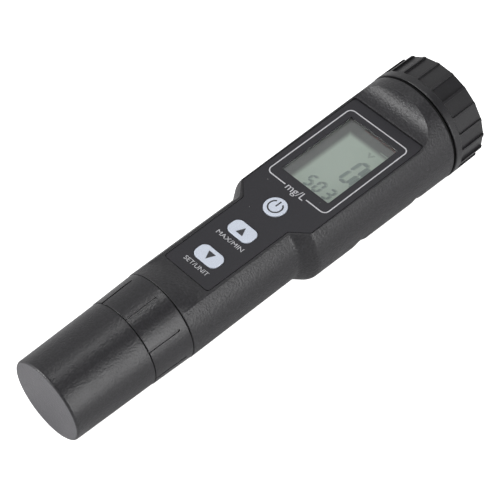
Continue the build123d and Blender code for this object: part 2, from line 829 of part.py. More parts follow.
def temperature_sensor():
    """Steel sleeve of the temperature sensor beside the membrane cap."""
    x0 = NOSE_START - 3.5
    sleeve = along_x(x0, STEM_START + SENSOR_DEPTH, SENSOR_Y, 0, SENSOR_R)
    return fillet(sleeve.edges().sort_by(Axis.X)[0], SENSOR_R * 0.6)


def cathode():
    """Noble metal disc at the tip with its lead."""
    disc = tube(CORE_START, CORE_START + 1.0, 2.4)
    return disc + along_x(CORE_START + 1.0, CORE_START + WIRE_LENGTH, 0, 0, WIRE_R)


def anode():
    """Metal sleeve round the core, inside the electrolyte."""
    return tube(CORE_START + 2.6, TIP_THREAD_START - 0.2, 5.2, CORE_R + 0.03)


def stem_pins():
    """Four contact pins that plug into the socket."""
    pins = []
    for y, z in socket_places():
        pins.append(along_x(PLUG_END - PIN_DEPTH, PLUG_END + PIN_REACH, y, z, PIN_R))
    return Compound(children=pins)


def membrane_cap():
    """Screw-on cap that holds the membrane and the electrolyte."""
    lip_r = 3.2
    thread_r = TIP_THREAD_R + THREAD_GAP
    points = [
        (MEMBRANE_CAP_START, lip_r),
        (MEMBRANE_CAP_START, MEMBRANE_CAP_R - 0.6),
        (MEMBRANE_CAP_START + 1.2, MEMBRANE_CAP_R),
        (MEMBRANE_CAP_END, MEMBRANE_CAP_R),
        (MEMBRANE_CAP_END, thread_r),
        (TIP_THREAD_START - 0.8, thread_r),
        (TIP_THREAD_START - 0.8, 6.3),
        (MEMBRANE_CAP_START + 1.4, 6.3),
        (MEMBRANE_CAP_START + 1.4, 5.0),
        (MEMBRANE_CAP_START + 0.9, 5.0),
        (MEMBRANE_CAP_START + 0.4, lip_r),
    ]
    cap = turned(points)
    flute = along_x(MEMBRANE_CAP_START + 2.5, MEMBRANE_CAP_END + 1, 0, MEMBRANE_CAP_R + 0.35, 0.75)
    count = 24
    for i in range(count):
        cap -= Rot(i * 360 / count, 0, 0) * flute
    return cap


def membrane_film():
    """Gas-permeable film held behind the cap's lip."""
    x0 = MEMBRANE_CAP_START + 0.45
    return tube(x0, x0 + 0.3, 3.2)


def membrane_seal():
    """Small O-ring between the membrane cap and the nose."""
    middle = (MEMBRANE_CAP_END + NOSE_START) / 2
    return ring(middle, 8.0, 0.45)


def protective_cap():
    """Push-on cap that keeps the membrane wet."""
    points = [
        (0, 0),
        (0, CAP_END_R),
        (CAP_LENGTH, CAP_MOUTH_R),
        (CAP_LENGTH, CAP_BORE_R),
        (CAP_FLOOR, CAP_BORE_R),
        (CAP_FLOOR, 0),
    ]
    return turned(points, [0, 0.9, 0.15, 0.3, 1.0, 0])


def cap_sponge():
    """Damp sponge in the bottom of the protective cap."""
    return tube(CAP_FLOOR, CAP_FLOOR + 1.5, 11.5)


def electrode_collar():
    """Threaded ring that locks the electrode on the body."""
    bore_r = STEM_R + THREAD_GAP
    thread_r = SPIGOT_R + THREAD_GAP
    lip_end = FLANGE_START - 0.3
    points = [
        (COLLAR_START, bore_r),
        (COLLAR_START, COLLAR_FRONT_R),
        (COLLAR_END, COLLAR_REAR_R),
        (COLLAR_END, thread_r),
        (lip_end, thread_r),
        (lip_end, bore_r),
    ]
    ring_body = turned(points, [0.2, 0.2, 0.2, 0, 0, 0])
    top = COLLAR_REAR_R + 1
    half = GROOVE_WIDTH / 2
    floor_front = COLLAR_FRONT_R - GROOVE_DEPTH
    floor_rear = floor_front + (COLLAR_REAR_R - COLLAR_FRONT_R) * 0.8
    straight = GROOVE_END - half
    side = [
        (COLLAR_START - 1, floor_front - 0.03),
        (GROOVE_END, floor_rear),
        (GROOVE_END, top),
        (COLLAR_START - 1, top),
    ]
    wedge = extrude(Plane.XZ * make_face(Polyline(*side, close=True)), half, both=True)
    plan = block(COLLAR_START - 2, straight, -half, half, 0, top + 1) + post(straight, 0, 0, top + 1, half)
    groove = wedge & plan
    for i in range(GROOVE_COUNT):
        angle = GROOVE_PHASE_DEG - 90 + i * 360 / GROOVE_COUNT
        ring_body -= Rot(angle, 0, 0) * groove
    return ring_body


# ---- build every sub-part ----
SUB_PARTS = {
    "main_housing": main_housing,
    "front_label": front_label,
    "window_lens": window_lens,
    "lcd_glass": lcd_glass,
    "lcd_frame": lcd_frame,
    "backlight": backlight,
    "zebra_strips": zebra_strips,
    "main_board": main_board,
    "microcontroller": microcontroller,
    "board_components": board_components,
    "key_switches": key_switches,
    "key_retainer": key_retainer,
    "chassis": chassis,
    "chassis_screws": chassis_screws,
    "battery_holder": battery_holder,
    "battery_lid": battery_lid,
    "battery_base_contact": battery_base_contact,
    "battery_spring": battery_spring,
    "probe_socket": probe_socket,
    "socket_contacts": socket_contacts,
    "probe_ribbon": probe_ribbon,
    "power_key": power_key,
    "electrode_stem": electrode_stem,
    "stem_pins": stem_pins,
    "stem_seal": stem_seal,
    "cap_seal": cap_seal,
    "temperature_sensor": temperature_sensor,
    "cathode": cathode,
    "anode": anode,
    "electrode_collar": electrode_collar,
    "membrane_seal": membrane_seal,
    "membrane_cap": membrane_cap,
    "membrane_film": membrane_film,
    "protective_cap": protective_cap,
    "cap_sponge": cap_sponge,
    "battery_cap_seal": battery_cap_seal,
    "battery_cap": battery_cap,
}

os.makedirs(PARTS_DIR, exist_ok=True)
for part_name, make in SUB_PARTS.items():
    save(make(), part_name)
save(arrow_key(UP_KEY_X), "up_key")
save(arrow_key(DOWN_KEY_X), "down_key")
for cell in range(CELL_COUNT):
    save(coin_cell(cell), "coin_cell_" + str(cell + 1))
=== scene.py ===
"""Looks of a pen-shaped dissolved oxygen meter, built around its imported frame.

The frame's X axis runs along the pen from the protective cap to the battery
cap, and Z comes out of the display. Sizes below are in millimetres, and `MM`
turns them into the scene's metres.
"""

import json
import logging
import math
from dataclasses import dataclass
from enum import Enum

import bmesh
import bpy
from mathutils import Matrix, Vector


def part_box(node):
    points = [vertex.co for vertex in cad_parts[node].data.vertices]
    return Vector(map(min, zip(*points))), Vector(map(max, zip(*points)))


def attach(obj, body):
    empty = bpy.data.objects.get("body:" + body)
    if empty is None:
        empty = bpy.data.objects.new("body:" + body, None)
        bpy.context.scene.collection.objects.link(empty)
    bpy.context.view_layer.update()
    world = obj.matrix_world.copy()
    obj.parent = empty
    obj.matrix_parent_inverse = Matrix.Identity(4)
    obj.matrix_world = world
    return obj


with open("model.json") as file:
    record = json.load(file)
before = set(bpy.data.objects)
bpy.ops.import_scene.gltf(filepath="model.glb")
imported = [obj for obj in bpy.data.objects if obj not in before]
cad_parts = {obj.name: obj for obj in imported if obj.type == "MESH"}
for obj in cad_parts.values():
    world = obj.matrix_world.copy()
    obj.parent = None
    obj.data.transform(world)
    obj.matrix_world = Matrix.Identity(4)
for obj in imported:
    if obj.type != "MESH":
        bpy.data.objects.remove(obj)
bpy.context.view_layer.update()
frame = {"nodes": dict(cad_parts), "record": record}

MM = 0.001
LOG = logging.getLogger("pen_meter")

Colour = tuple[float, float, float]
Point2 = tuple[float, float]
Point3 = tuple[float, float, float]


# ---------------------------------------------------------------- node helpers
class Graph:
    """Adds and links nodes in one shader tree."""

    def __init__(self, tree: bpy.types.NodeTree) -> None:
        """Keep the tree that the nodes go into.

        Args:
            tree: the material's tree or a node group.
        """
        self.tree = tree

    def add(self, kind: str, **settings: object) -> bpy.types.Node:
        """Add a node.

        Args:
            kind: the node's type name.
            settings: attributes to set on it.

        Returns:
            The new node.
        """
        node = self.tree.nodes.new(kind)
        for name, value in settings.items():
            setattr(node, name, value)
        return node

    def link(self, source: bpy.types.NodeSocket, target: bpy.types.NodeSocket) -> None:
        """Link an output to an input."""
        self.tree.links.new(source, target)

    def feed(self, value: object, target: bpy.types.NodeSocket) -> None:
        """Link a socket, or set a plain value.

        Args:
            value: an output socket or a number.
            target: the input to feed.
        """
        if isinstance(value, bpy.types.NodeSocket):
            self.link(value, target)
        else:
            target.default_value = value

    def texture(
        self, kind: str, where: bpy.types.NodeSocket, values: dict[str, float], **settings: object
    ) -> bpy.types.Node:
        """Add a texture at given coordinates.

        Args:
            kind: the node's type name.
            where: the coordinates.
            values: each input's name and value.
            settings: attributes to set on it.

        Returns:
            The texture node.
        """
        node = self.add(kind, **settings)
        preset(node, values)
        self.link(where, node.inputs["Vector"])
        return node

    def math(
        self, operation: str, first: object, second: object = 0.0, clamp: bool = False
    ) -> bpy.types.NodeSocket:
        """Add a math node.

        Args:
            operation: the node's operation.
            first: first input, a socket or a number.
            second: second input, a socket or a number.
            clamp: keep the result between 0 and 1.

        Returns:
            The result socket.
        """
        node = self.add("ShaderNodeMath", operation=operation, use_clamp=clamp)
        self.feed(first, node.inputs[0])
        self.feed(second, node.inputs[1])
        return node.outputs[0]

    def span(
        self, value: object, low: float, high: float, out_low: float = 0.0, out_high: float = 1.0
    ) -> bpy.types.NodeSocket:
        """Map a value smoothly from one span to another.

        Args:
            value: the input socket.
            low: input that gives out_low.
            high: input that gives out_high.
            out_low: result at low.
            out_high: result at high.

        Returns:
            The result socket.
        """
        node = self.add("ShaderNodeMapRange", interpolation_type="SMOOTHSTEP")
        self.feed(value, node.inputs["Value"])
        preset(node, {"From Min": low, "From Max": high, "To Min": out_low, "To Max": out_high})
        return node.outputs[0]

    def mix(self, factor: object, first: object, second: object) -> bpy.types.NodeSocket:
        """Mix two colours.

        Args:
            factor: share of the second colour.
            first: first colour, a socket or four numbers.
            second: second colour, a socket or four numbers.

        Returns:
            The mixed colour socket.
        """
        node = self.add("ShaderNodeMix", data_type="RGBA")
        self.feed(factor, node.inputs[0])
        self.feed(first, node.inputs[6])
        self.feed(second, node.inputs[7])
        return node.outputs[2]


def preset(node: bpy.types.Node, values: dict[str, object]) -> None:
    """Set inputs of a node by name.

    Args:
        node: the node.
        values: each input's name and value.
    """
    for name, value in values.items():
        node.inputs[name].default_value = value


def rgba(colour: Colour) -> tuple[float, float, float, float]:
    """Colour with full alpha."""
    return (*colour, 1.0)


def scaled(colour: Colour, factor: float) -> Colour:
    """Colour made lighter or darker."""
    return tuple(min(1.0, part * factor) for part in colour)


# ---------------------------------------------------------------- shared effects
class Effect(Enum):
    """Shader groups that more than one finish uses."""

    GRAIN = "moulded_grain"
    EDGE = "edge_wear_and_painted_light"
    SHEEN = "handling_sheen"
    DUST = "fine_dust"
    DOTS = "ink_dots"


class EffectBook:
    """Builds each shared shader group once and places copies in materials."""

    def __init__(self) -> None:
        """Build every group."""
        self.groups: dict[Effect, bpy.types.NodeTree] = {
            Effect.GRAIN: self._grain(),
            Effect.EDGE: self._edge(),
            Effect.SHEEN: self._sheen(),
            Effect.DUST: self._dust(),
            Effect.DOTS: self._dots(),
        }

    def place(self, graph: Graph, effect: Effect, **values: float) -> bpy.types.Node:
        """Place a group in a material.

        Args:
            graph: the material's graph.
            effect: which group.
            values: its named inputs.

        Returns:
            The group node.
        """
        node = graph.add("ShaderNodeGroup", node_tree=self.groups[effect])
        preset(node, values)
        return node

    @staticmethod
    def _start(
        effect: Effect, inputs: dict[str, float], outputs: dict[str, str]
    ) -> tuple[Graph, bpy.types.Node, bpy.types.Node]:
        """Start a group with its sockets.

        Args:
            effect: which group it is.
            inputs: input names with their usual values.
            outputs: output names with their socket types.

        Returns:
            The graph, its input node and its output node.
        """
        tree = bpy.data.node_groups.new(effect.value, "ShaderNodeTree")
        for name, value in inputs.items():
            socket = tree.interface.new_socket(name, in_out="INPUT", socket_type="NodeSocketFloat")
            socket.default_value = value
        for name, kind in outputs.items():
            tree.interface.new_socket(name, in_out="OUTPUT", socket_type=kind)
        graph = Graph(tree)
        return graph, graph.add("NodeGroupInput"), graph.add("NodeGroupOutput")

    @staticmethod
    def _place_by_size(graph: Graph, size_mm: bpy.types.NodeSocket) -> bpy.types.NodeSocket:
        """Object coordinates divided by a size in millimetres.

        Args:
            graph: the group's graph.
            size_mm: the pattern's size.

        Returns:
            The scaled coordinates.
        """
        where = graph.add("ShaderNodeTexCoord")
        per_metre = graph.math("DIVIDE", 1.0 / MM, size_mm)
        scale = graph.add("ShaderNodeVectorMath", operation="SCALE")
        graph.link(where.outputs["Object"], scale.inputs[0])
        graph.link(per_metre, scale.inputs["Scale"])
        return scale.outputs[0]

    def _grain(self) -> bpy.types.NodeTree:
        """Spark-eroded grain of a mould: pits and soft bumps of one size."""
        graph, given, out = self._start(
            Effect.GRAIN, {"Size mm": 0.35}, {"Height": "NodeSocketFloat", "Shade": "NodeSocketFloat"}
        )
        place = self._place_by_size(graph, given.outputs["Size mm"])
        bumps = graph.texture("ShaderNodeTexNoise", place, {"Scale": 1.0, "Detail": 3.0, "Roughness": 0.6})
        pits = graph.texture(
            "ShaderNodeTexVoronoi", place, {"Scale": 1.25, "Smoothness": 0.6}, feature="SMOOTH_F1"
        )
        pit_share = 0.55
        pit_depth = graph.math("MULTIPLY", pits.outputs["Distance"], pit_share)
        height = graph.math("ADD", bumps.outputs[0], pit_depth)
        lowest, highest = 0.45, 1.1
        graph.link(height, out.inputs["Height"])
        graph.link(graph.span(height, lowest, highest), out.inputs["Shade"])
        return graph.tree

    def _edge(self) -> bpy.types.NodeTree:
        """Rounded edges: their normal, and a mask of rubbed edges that also carries painted edge light."""
        graph, given, out = self._start(
            Effect.EDGE,
            {"Radius mm": 0.25, "Wear": 0.5},
            {"Normal": "NodeSocketVector", "Mask": "NodeSocketFloat"},
        )
        bevel = graph.add("ShaderNodeBevel", samples=6)
        graph.link(graph.math("MULTIPLY", given.outputs["Radius mm"], MM), bevel.inputs["Radius"])
        plain = graph.add("ShaderNodeNewGeometry")
        turn = graph.add("ShaderNodeVectorMath", operation="DOT_PRODUCT")
        graph.link(bevel.outputs[0], turn.inputs[0])
        graph.link(plain.outputs["Normal"], turn.inputs[1])
        slight, sharp = 0.01, 0.16
        bend = graph.span(graph.math("SUBTRACT", 1.0, turn.outputs["Value"]), slight, sharp)
        where = graph.add("ShaderNodeTexCoord").outputs["Object"]
        patches = graph.texture("ShaderNodeTexNoise", where, {"Scale": 160.0, "Detail": 4.0})
        spared, rubbed = 0.35, 0.6
        broken = graph.math("MULTIPLY", bend, graph.span(patches.outputs[0], spared, rubbed))
        graph.link(graph.math("MULTIPLY", broken, given.outputs["Wear"], clamp=True), out.inputs["Mask"])
        graph.link(bevel.outputs[0], out.inputs["Normal"])
        return graph.tree

    def _sheen(self) -> bpy.types.NodeTree:
        """Cloudy change of gloss where hands have polished the surface."""
        graph, given, out = self._start(
            Effect.SHEEN, {"Size mm": 14.0, "Amount": 0.06}, {"Value": "NodeSocketFloat"}
        )
        place = self._place_by_size(graph, given.outputs["Size mm"])
        cloud = graph.texture("ShaderNodeTexNoise", place, {"Scale": 1.0, "Detail": 5.0, "Distortion": 0.6})
        centred = graph.math("SUBTRACT", cloud.outputs[0], 0.5)
        graph.link(graph.math("MULTIPLY", centred, given.outputs["Amount"]), out.inputs["Value"])
        return graph.tree

    def _dust(self) -> bpy.types.NodeTree:
        """Sparse pale specks of dust."""
        graph, given, out = self._start(
            Effect.DUST, {"Spacing mm": 2.6, "Speck": 0.05, "Share": 0.09}, {"Mask": "NodeSocketFloat"}
        )
        place = self._place_by_size(graph, given.outputs["Spacing mm"])
        cells = graph.texture("ShaderNodeTexVoronoi", place, {"Scale": 1.0}, feature="F1")
        near = graph.math("LESS_THAN", cells.outputs["Distance"], given.outputs["Speck"])
        parts = graph.add("ShaderNodeSeparateColor")
        graph.link(cells.outputs["Color"], parts.inputs[0])
        chosen = graph.math("LESS_THAN", parts.outputs[0], given.outputs["Share"])
        graph.link(graph.math("MULTIPLY", near, chosen), out.inputs["Mask"])
        return graph.tree

    def _dots(self) -> bpy.types.NodeTree:
        """Fine even dots of a screen-printed or woven-looking ink."""
        graph, given, out = self._start(Effect.DOTS, {"Spacing mm": 0.3}, {"Mask": "NodeSocketFloat"})
        place = self._place_by_size(graph, given.outputs["Spacing mm"])
        cells = graph.texture("ShaderNodeTexVoronoi", place, {"Scale": 1.0, "Randomness": 0.25}, feature="F1")
        core, rim = 0.12, 0.42
        graph.link(graph.span(cells.outputs["Distance"], core, rim, 1.0, 0.0), out.inputs["Mask"])
        return graph.tree


# ---------------------------------------------------------------- finishes
DUST_COLOUR: Colour = (0.55, 0.55, 0.54)
RUBBED_ROUGHNESS = -0.12    # change of roughness on a fully rubbed edge
# normal range of the painted light on end faces
END_FACING = (-0.9, -0.99)  # x of the normal, from not an end face to fully one


@dataclass(frozen=True)
class Finish:
    """What every finish has: a name and a base colour."""

    name: str
    colour: Colour

    def start(self) -> tuple[bpy.types.Material, Graph, bpy.types.Node]:
        """Start a material.

        Returns:
            The material, its graph and its shader node.
        """
        material = bpy.data.materials.new(self.name)
        material.use_nodes = True
        graph = Graph(material.node_tree)
        shader = material.node_tree.nodes["Principled BSDF"]
        shader.inputs["Base Color"].default_value = rgba(self.colour)
        return material, graph, shader


@dataclass(frozen=True)
class PlasticFinish(Finish):
    """Moulded plastic or rubber with grain, worn edges whose lighter tone is also a painted edge highlight,
    sheen, dust and painted light on the end face.

    The grain's, edges' and end's tones are shares of the base colour. `dust` and
    `dots` are how strongly each covers it, and an end tone above 1 is painted light
    that pales the faces that look along -X.
    """

    roughness: float = 0.5
    specular: float = 0.5
    grain_mm: float = 0.35
    grain_depth_mm: float = 0.012
    grain_shade: float = 0.12
    edge_mm: float = 0.25
    # strength and tone of the edge mask: rubbed edges, where a tone above 1 is also a painted edge highlight
    edge_wear_and_painted_light: float = 0.4
    edge_lift: float = 2.6
    sheen: float = 0.12
    dust: float = 0.0
    dots: float = 0.0
    dot_tone: float = 0.55
    # tone of the painted light on faces that look along -X; 1 paints none
    painted_end_light: float = 1.0

    def build(self, effects: EffectBook) -> bpy.types.Material:
        """Make the material.

        Args:
            effects: the shared groups.

        Returns:
            The material.
        """
        material, graph, shader = self.start()
        grain = effects.place(graph, Effect.GRAIN, **{"Size mm": self.grain_mm})
        edge = effects.place(graph, Effect.EDGE, **{"Radius mm": self.edge_mm, "Wear": self.edge_wear_and_painted_light})
        sheen = effects.place(graph, Effect.SHEEN, Amount=self.sheen)
        dark = rgba(scaled(self.colour, 1.0 - self.grain_shade))
        light = rgba(scaled(self.colour, 1.0 + self.grain_shade))
        tone = graph.mix(grain.outputs["Shade"], dark, light)
        # rubbed edges, lighter or darker by the edge tone; a lighter tone also stands in for a painted edge
        # highlight
        tone = graph.mix(edge.outputs["Mask"], tone, rgba(scaled(self.colour, self.edge_lift)))
        if self.dots:
            dots = effects.place(graph, Effect.DOTS)
            share = graph.math("MULTIPLY", dots.outputs["Mask"], self.dots)
            tone = graph.mix(share, tone, rgba(scaled(self.colour, self.dot_tone)))
        if self.dust:
            dust = effects.place(graph, Effect.DUST)
            share = graph.math("MULTIPLY", dust.outputs["Mask"], self.dust)
            tone = graph.mix(share, tone, rgba(DUST_COLOUR))
        # painted light: faces that look along -X are paled to the end tone
        if self.painted_end_light > 1.0:
            where = graph.add("ShaderNodeNewGeometry")
            parts = graph.add("ShaderNodeSeparateXYZ")
            graph.link(where.outputs["Normal"], parts.inputs[0])
            facing = graph.span(parts.outputs[0], *END_FACING)
            tone = graph.mix(facing, tone, rgba(scaled(self.colour, self.painted_end_light)))
        graph.link(tone, shader.inputs["Base Color"])
        rough = graph.math("ADD", sheen.outputs["Value"], self.roughness)
        rubbed = graph.math("MULTIPLY", edge.outputs["Mask"], RUBBED_ROUGHNESS)
        graph.link(graph.math("ADD", rough, rubbed, clamp=True), shader.inputs["Roughness"])
        bump = graph.add("ShaderNodeBump")
        preset(bump, {"Strength": 1.0, "Distance": self.grain_depth_mm * MM})
        graph.link(grain.outputs["Height"], bump.inputs["Height"])
        graph.link(edge.outputs["Normal"], bump.inputs["Normal"])
        graph.link(bump.outputs[0], shader.inputs["Normal"])
        shader.inputs["Specular IOR Level"].default_value = self.specular
        return material


@dataclass(frozen=True)
class MetalFinish(Finish):
    """Turned or stamped metal with fine marks along one direction."""

    roughness: float = 0.3
    marks_mm: float = 0.12
    mark_tone: float = 0.8
    mark_roughness: float = 0.15
    stretch: float = 14.0
    sheen: float = 0.1
    edge_mm: float = 0.12

    def build(self, effects: EffectBook) -> bpy.types.Material:
        """Make the material.

        Args:
            effects: the shared groups.

        Returns:
            The material.
        """
        material, graph, shader = self.start()
        where = graph.add("ShaderNodeTexCoord")
        squeeze = graph.add("ShaderNodeMapping")
        graph.link(where.outputs["Object"], squeeze.inputs["Vector"])
        across = 1.0 / (self.marks_mm * MM)
        squeeze.inputs["Scale"].default_value = (across, across / self.stretch, across / self.stretch)
        marks = graph.texture("ShaderNodeTexNoise", squeeze.outputs[0], {"Scale": 1.0})
        tone = graph.mix(marks.outputs[0], rgba(scaled(self.colour, self.mark_tone)), rgba(self.colour))
        graph.link(tone, shader.inputs["Base Color"])
        sheen = effects.place(graph, Effect.SHEEN, Amount=self.sheen)
        streak = graph.math("MULTIPLY", marks.outputs[0], self.mark_roughness)
        streaked = graph.math("ADD", streak, self.roughness)
        rough = graph.math("ADD", streaked, sheen.outputs["Value"], clamp=True)
        graph.link(rough, shader.inputs["Roughness"])
        edge = effects.place(graph, Effect.EDGE, **{"Radius mm": self.edge_mm})
        graph.link(edge.outputs["Normal"], shader.inputs["Normal"])
        shader.inputs["Metallic"].default_value = 1.0
        return material


@dataclass(frozen=True)
class GlassFinish(Finish):
    """Clear window with faint cloudy gloss."""

    roughness: float = 0.06
    cloud_mm: float = 6.0
    sheen: float = 0.05
    refraction: float = 1.49

    def build(self, effects: EffectBook) -> bpy.types.Material:
        """Make the material.

        Args:
            effects: the shared groups.

        Returns:
            The material.
        """
        material, graph, shader = self.start()
        sheen = effects.place(graph, Effect.SHEEN, **{"Size mm": self.cloud_mm, "Amount": self.sheen})
        rough = graph.math("ADD", sheen.outputs["Value"], self.roughness, clamp=True)
        graph.link(rough, shader.inputs["Roughness"])
        preset(shader, {"Transmission Weight": 1.0, "IOR": self.refraction})
        return material


@dataclass(frozen=True)
class DisplayFinish(Finish):
    """Reflective display: a pale green, faintly woven field, with a painted grey shadow of the window's walls
    along two sides.
    """

    # painted shadow of the window's walls: its colour, where it starts along x and y, and how soft its rim is
    wall_shadow: Colour = (0.25, 0.255, 0.25)
    shadow_start_x: float = 145.6
    shadow_start_y: float = 7.0
    blur: float = 1.3
    roughness: float = 0.45
    cloud_mm: float = 9.0
    sheen: float = 0.5
    cloud_tones: tuple[float, float] = (0.9, 1.12)
    weave_mm: float = 0.22
    weave_share: float = 0.06
    weave_tone: float = 0.6

    def build(self, effects: EffectBook) -> bpy.types.Material:
        """Make the material.

        Args:
            effects: the shared groups.

        Returns:
            The material.
        """
        material, graph, shader = self.start()
        where = graph.add("ShaderNodeTexCoord")
        parts = graph.add("ShaderNodeSeparateXYZ")
        graph.link(where.outputs["Object"], parts.inputs[0])
        # mask of the painted wall shadow: darker beyond the field's ends along +X and +Y
        masks = []
        for axis, limit in ((0, self.shadow_start_x), (1, self.shadow_start_y)):
            masks.append(graph.span(parts.outputs[axis], (limit - self.blur) * MM, (limit + self.blur) * MM))
        shade = graph.math("MAXIMUM", masks[0], masks[1])
        cloud = effects.place(graph, Effect.SHEEN, **{"Size mm": self.cloud_mm, "Amount": self.sheen})
        lively = graph.math("ADD", cloud.outputs["Value"], 0.5, clamp=True)
        dim, bright = (rgba(scaled(self.colour, tone)) for tone in self.cloud_tones)
        dots = effects.place(graph, Effect.DOTS, **{"Spacing mm": self.weave_mm})
        woven = graph.math("MULTIPLY", dots.outputs["Mask"], self.weave_share)
        thread = rgba(scaled(self.colour, self.weave_tone))
        field_tone = graph.mix(woven, graph.mix(lively, dim, bright), thread)
        graph.link(graph.mix(shade, field_tone, rgba(self.wall_shadow)), shader.inputs["Base Color"])
        rough = graph.math("ADD", cloud.outputs["Value"], self.roughness, clamp=True)
        graph.link(rough, shader.inputs["Roughness"])
        return material


# ---------------------------------------------------------------- mesh helpers
def new_piece(
    name: str, mesh: bpy.types.Mesh, body: str, finish: bpy.types.Material
) -> None:
    """Put a mesh in the scene as a piece of the object.

    Args:
        name: the piece's name.
        mesh: its mesh.
        body: the body it rides on.
        finish: its material.
    """
    piece = bpy.data.objects.new(name, mesh)
    bpy.context.scene.collection.objects.link(piece)
    mesh.materials.append(finish)
    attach(piece, body)
    LOG.info("piece %s rides on %s: %d faces", name, body, len(mesh.polygons))


def close_mesh(name: str, builder: bmesh.types.BMesh) -> bpy.types.Mesh:
    """Turn a bmesh into a mesh with outward faces.

    Args:
        name: the mesh's name.
        builder: the bmesh, freed afterwards.

    Returns:
        The mesh.
    """
    bmesh.ops.recalc_face_normals(builder, faces=builder.faces)
    mesh = bpy.data.meshes.new(name)
    builder.to_mesh(mesh)
    builder.free()
    return mesh


def join_rings(
    builder: bmesh.types.BMesh, first: list[bmesh.types.BMVert], second: list[bmesh.types.BMVert]
) -> None:
    """Join two rings of equal count with four-sided faces.

    Args:
        builder: the bmesh that holds them.
        first: the corners of one ring, in order.
        second: the corners of the other.
    """
    count = len(first)
    for i in range(count):
        j = (i + 1) % count
        builder.faces.new((first[i], first[j], second[j], second[i]))


@dataclass(frozen=True)
class Sheet:
    """A print plane: u runs to the reader's right, v to the reader's top, in millimetres."""

    x: float
    y: float
    z: float
    thickness: float = 0.03

    def at(self, u: float, v: float, lift: float = 0.0) -> Vector:
        """Point of the plane in the frame, in metres."""
        return Vector((self.x + v, self.y - u, self.z + lift)) * MM


class Printer:
    """Makes thin raised prints from plane shapes."""

    sharpest_mitre = 0.3

    def __init__(self, sheet: Sheet) -> None:
        """Keep the plane to print on.

        Args:
            sheet: the print plane.
        """
        self.sheet = sheet
        self.builder = bmesh.new()

    def polygon(self, points: list[Point2]) -> None:
        """Add a filled outline as a thin prism.

        Args:
            points: the outline's corners in order.
        """
        low = [self.builder.verts.new(self.sheet.at(u, v)) for u, v in points]
        high = [self.builder.verts.new(self.sheet.at(u, v, self.sheet.thickness)) for u, v in points]
        self.builder.faces.new(low[::-1])
        self.builder.faces.new(high)
        join_rings(self.builder, low, high)

    def stroke(self, points: list[Point2], width: float, closed: bool = False) -> None:
        """Add a line of even width with mitred corners.

        Args:
            points: the line's points in order.
            width: its width.
            closed: join the last point to the first.
        """
        rings = []
        count = len(points)
        for i, here in enumerate(points):
            before = points[i - 1] if closed or i > 0 else here
            after = points[(i + 1) % count] if closed or i < count - 1 else here
            arriving = Vector((here[0] - before[0], here[1] - before[1]))
            leaving = Vector((after[0] - here[0], after[1] - here[1]))
            if arriving.length == 0:
                arriving = leaving
            if leaving.length == 0:
                leaving = arriving
            along = (arriving.normalized() + leaving.normalized()).normalized()
            side = Vector((-along.y, along.x))
            reach = width / 2 / max(self.sharpest_mitre, along.dot(leaving.normalized()))
            left = (here[0] + side.x * reach, here[1] + side.y * reach)
            right = (here[0] - side.x * reach, here[1] - side.y * reach)
            top = self.sheet.thickness
            corners = ((left, 0.0), (right, 0.0), (right, top), (left, top))
            rings.append([self.builder.verts.new(self.sheet.at(u, v, lift)) for (u, v), lift in corners])
        spans = count if closed else count - 1
        for i in range(spans):
            join_rings(self.builder, rings[i], rings[(i + 1) % count])
        if not closed:
            self.builder.faces.new(rings[0][::-1])
            self.builder.faces.new(rings[-1])

    def finish(self, name: str) -> bpy.types.Mesh:
        """Close the print and return its mesh."""
        return close_mesh(name, self.builder)


def arc(u: float, v: float, radius: float, start_deg: float, end_deg: float, steps: int = 12) -> list[Point2]:
    """Points of an arc.

    Args:
        u: centre, across.
        v: centre, up.
        radius: its radius.
        start_deg: where it starts, anticlockwise from the right.
        end_deg: where it ends.
        steps: number of spans.

    Returns:
        The points.
    """
    points = []
    for i in range(steps + 1):
        angle = math.radians(start_deg + (end_deg - start_deg) * i / steps)
        points.append((u + radius * math.cos(angle), v + radius * math.sin(angle)))
    return points


def lettering(name: str, words: str, height: float, length: float, sheet: Sheet) -> bpy.types.Mesh:
    """Printed words, centred on a print plane.

    Args:
        name: the mesh's name.
        words: what it says.
        height: the height of its capitals.
        length: the length of the line of print.
        sheet: the print plane; its origin is the middle of the words.

    Returns:
        The mesh.
    """
    curve = bpy.data.curves.new(name, "FONT")
    curve.body = words
    curve.align_x = "CENTER"
    curve.align_y = "CENTER"
    capital_share = 0.7
    curve.size = height / capital_share * MM
    curve.extrude = sheet.thickness / 2 * MM
    curve.resolution_u = 4
    holder = bpy.data.objects.new(name + "_curve", curve)
    bpy.context.scene.collection.objects.link(holder)
    bpy.context.view_layer.update()
    evaluated = holder.evaluated_get(bpy.context.evaluated_depsgraph_get())
    mesh = bpy.data.meshes.new_from_object(evaluated)
    bpy.data.objects.remove(holder)
    middle = sheet.at(0.0, 0.0, sheet.thickness / 2)
    turn = Matrix(
        (
            (0.0, 1.0, 0.0, middle.x),
            (-1.0, 0.0, 0.0, middle.y),
            (0.0, 0.0, 1.0, middle.z),
            (0.0, 0.0, 0.0, 1.0),
        )
    )
    places = [vertex.co.x for vertex in mesh.vertices]
    stretch = length * MM / (max(places) - min(places))
    mesh.transform(turn @ Matrix.Diagonal((stretch, 1.0, 1.0, 1.0)))
    mesh.materials.clear()
    return mesh


# ---------------------------------------------------------------- finishes of this object
BODY_COLOUR: Colour = (0.0285, 0.0278, 0.0305)

